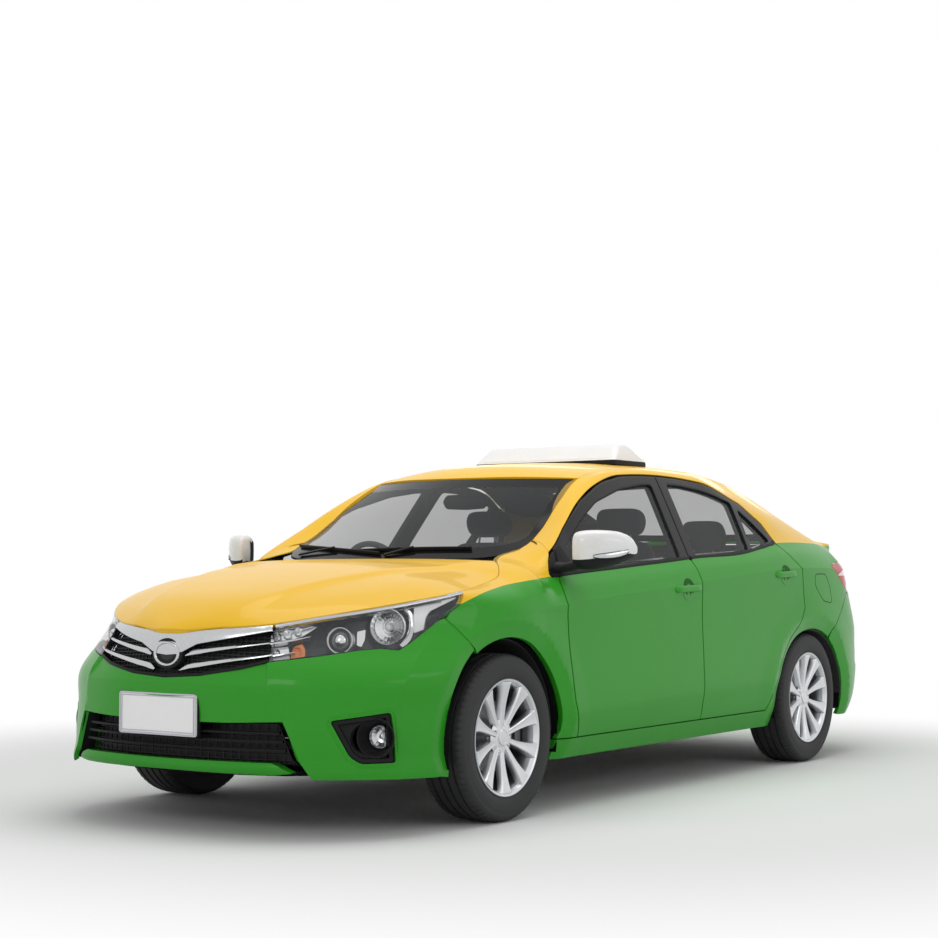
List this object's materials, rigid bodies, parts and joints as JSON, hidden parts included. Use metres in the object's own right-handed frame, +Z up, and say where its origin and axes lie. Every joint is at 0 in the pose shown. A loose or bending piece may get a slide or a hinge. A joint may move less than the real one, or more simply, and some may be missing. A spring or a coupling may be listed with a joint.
{
  "type": "taxi saloon car",
  "caption": "Four-door saloon taxi in green and yellow with a blank roof sign, opening doors, bonnet and boot, steered front wheels and turning road wheels.",
  "frame": {"origin": "on the ground, midway between the axles on the centre line", "axes": "+X forward, +Y to the car's left, +Z up"},
  "size_m": [4.62, 2.104, 1.541],
  "materials": {
    "green_paint": "gloss green car paint",
    "yellow_paint": "gloss yellow car paint",
    "black_plastic": "grained black moulding",
    "white_plastic": "smooth white moulding",
    "cabin_plastic": "grained dark grey moulding",
    "window_glass": "lightly tinted window glass",
    "lamp_clear": "clear lamp lens over bright reflectors",
    "lamp_red": "red and clear lamp lens",
    "seat_cloth": "dark woven seat cloth",
    "cast_metal": "cast and machined metal",
    "black_steel": "black underbody paint",
    "bare_steel": "heat-dulled steel pipe",
    "alloy": "bright silver lacquered alloy",
    "tyre": "black tyre rubber"
  },
  "bodies": {
    "body": {"body_side_left": "green_paint", "body_side_right": "green_paint", "roof_panel": "yellow_paint", "front_wing_left": "green_paint", "front_wing_right": "green_paint", "front_bumper": "green_paint", "grille": "black_plastic", "rear_bumper": "green_paint", "windscreen": "window_glass", "rear_window": "window_glass", "scuttle": "black_plastic", "headlamps": "lamp_clear", "tail_lamps": "lamp_red", "roof_sign": "white_plastic", "front_plate": "white_plastic", "dashboard": "cabin_plastic", "front_seats": "seat_cloth", "rear_seat": "seat_cloth", "engine_block": "cast_metal", "front_subframe": "black_steel", "rear_axle": "black_steel", "exhaust": "bare_steel", "floor_pan": "black_steel"},
    "hood": {"hood": "yellow_paint"},
    "boot_lid": {"boot_lid": "green_paint", "rear_plate": "white_plastic"},
    "steering_wheel": {"steering_wheel": "cabin_plastic"},
    "front_door_left": {"front_door_left": "green_paint", "front_glass_left": "window_glass", "mirror_left": "white_plastic"},
    "rear_door_left": {"rear_door_left": "green_paint", "rear_glass_left": "window_glass"},
    "knuckle_left": {"knuckle_left": "cast_metal"},
    "front_door_right": {"front_door_right": "green_paint", "front_glass_right": "window_glass", "mirror_right": "white_plastic"},
    "rear_door_right": {"rear_door_right": "green_paint", "rear_glass_right": "window_glass"},
    "knuckle_right": {"knuckle_right": "cast_metal"},
    "wheel_front_left": {"wheel_front_left": "alloy", "tyre_front_left": "tyre"},
    "wheel_front_right": {"wheel_front_right": "alloy", "tyre_front_right": "tyre"},
    "wheel_rear_left": {"wheel_rear_left": "alloy", "tyre_rear_left": "tyre"},
    "wheel_rear_right": {"wheel_rear_right": "alloy", "tyre_rear_right": "tyre"}
  },
  "joints": [
    {"name": "steer_left", "type": "hinge", "parent": "body", "child": "knuckle_left", "pos_m": [1.35, 0.69, 0.316], "axis": [0, 0, 1], "range_deg": [-35, 35]},
    {"name": "front_wheel_spin_left", "type": "hinge", "parent": "knuckle_left", "child": "wheel_front_left", "pos_m": [1.35, 0.76, 0.316], "axis": [0, 1, 0], "continuous": true},
    {"name": "rear_wheel_spin_left", "type": "hinge", "parent": "body", "child": "wheel_rear_left", "pos_m": [-1.35, 0.76, 0.316], "axis": [0, 1, 0], "continuous": true},
    {"name": "front_door_hinge_left", "type": "hinge", "parent": "body", "child": "front_door_left", "pos_m": [0.962, 0.8865, 0.62], "axis": [0, 0, -1], "range_deg": [0, 66]},
    {"name": "rear_door_hinge_left", "type": "hinge", "parent": "body", "child": "rear_door_left", "pos_m": [-0.132, 0.8875, 0.62], "axis": [0, 0, -1], "range_deg": [0, 66]},
    {"name": "steer_right", "type": "hinge", "parent": "body", "child": "knuckle_right", "pos_m": [1.35, -0.69, 0.316], "axis": [0, 0, 1], "range_deg": [-35, 35]},
    {"name": "front_wheel_spin_right", "type": "hinge", "parent": "knuckle_right", "child": "wheel_front_right", "pos_m": [1.35, -0.76, 0.316], "axis": [0, 1, 0], "continuous": true},
    {"name": "rear_wheel_spin_right", "type": "hinge", "parent": "body", "child": "wheel_rear_right", "pos_m": [-1.35, -0.76, 0.316], "axis": [0, 1, 0], "continuous": true},
    {"name": "front_door_hinge_right", "type": "hinge", "parent": "body", "child": "front_door_right", "pos_m": [0.962, -0.8865, 0.62], "axis": [0, 0, 1], "range_deg": [0, 66]},
    {"name": "rear_door_hinge_right", "type": "hinge", "parent": "body", "child": "rear_door_right", "pos_m": [-0.132, -0.8875, 0.62], "axis": [0, 0, 1], "range_deg": [0, 66]},
    {"name": "hood_hinge", "type": "hinge", "parent": "body", "child": "hood", "pos_m": [1.104, 0, 0.99], "axis": [0, -1, 0], "range_deg": [0, 50]},
    {"name": "boot_hinge", "type": "hinge", "parent": "body", "child": "boot_lid", "pos_m": [-1.925, 0, 1.1], "axis": [0, 1, 0], "range_deg": [0, 75]},
    {"name": "steering_wheel_turn", "type": "hinge", "parent": "body", "child": "steering_wheel", "pos_m": [0.56, -0.37, 0.905], "axis": [-0.9272, 0, 0.3746], "range_deg": [-500, 500]}
  ],
  "couplings": [
    {"joint": "steer_right", "follows": "steer_left", "ratio": 1},
    {"joint": "steering_wheel_turn", "follows": "steer_left", "ratio": 14}
  ]
}
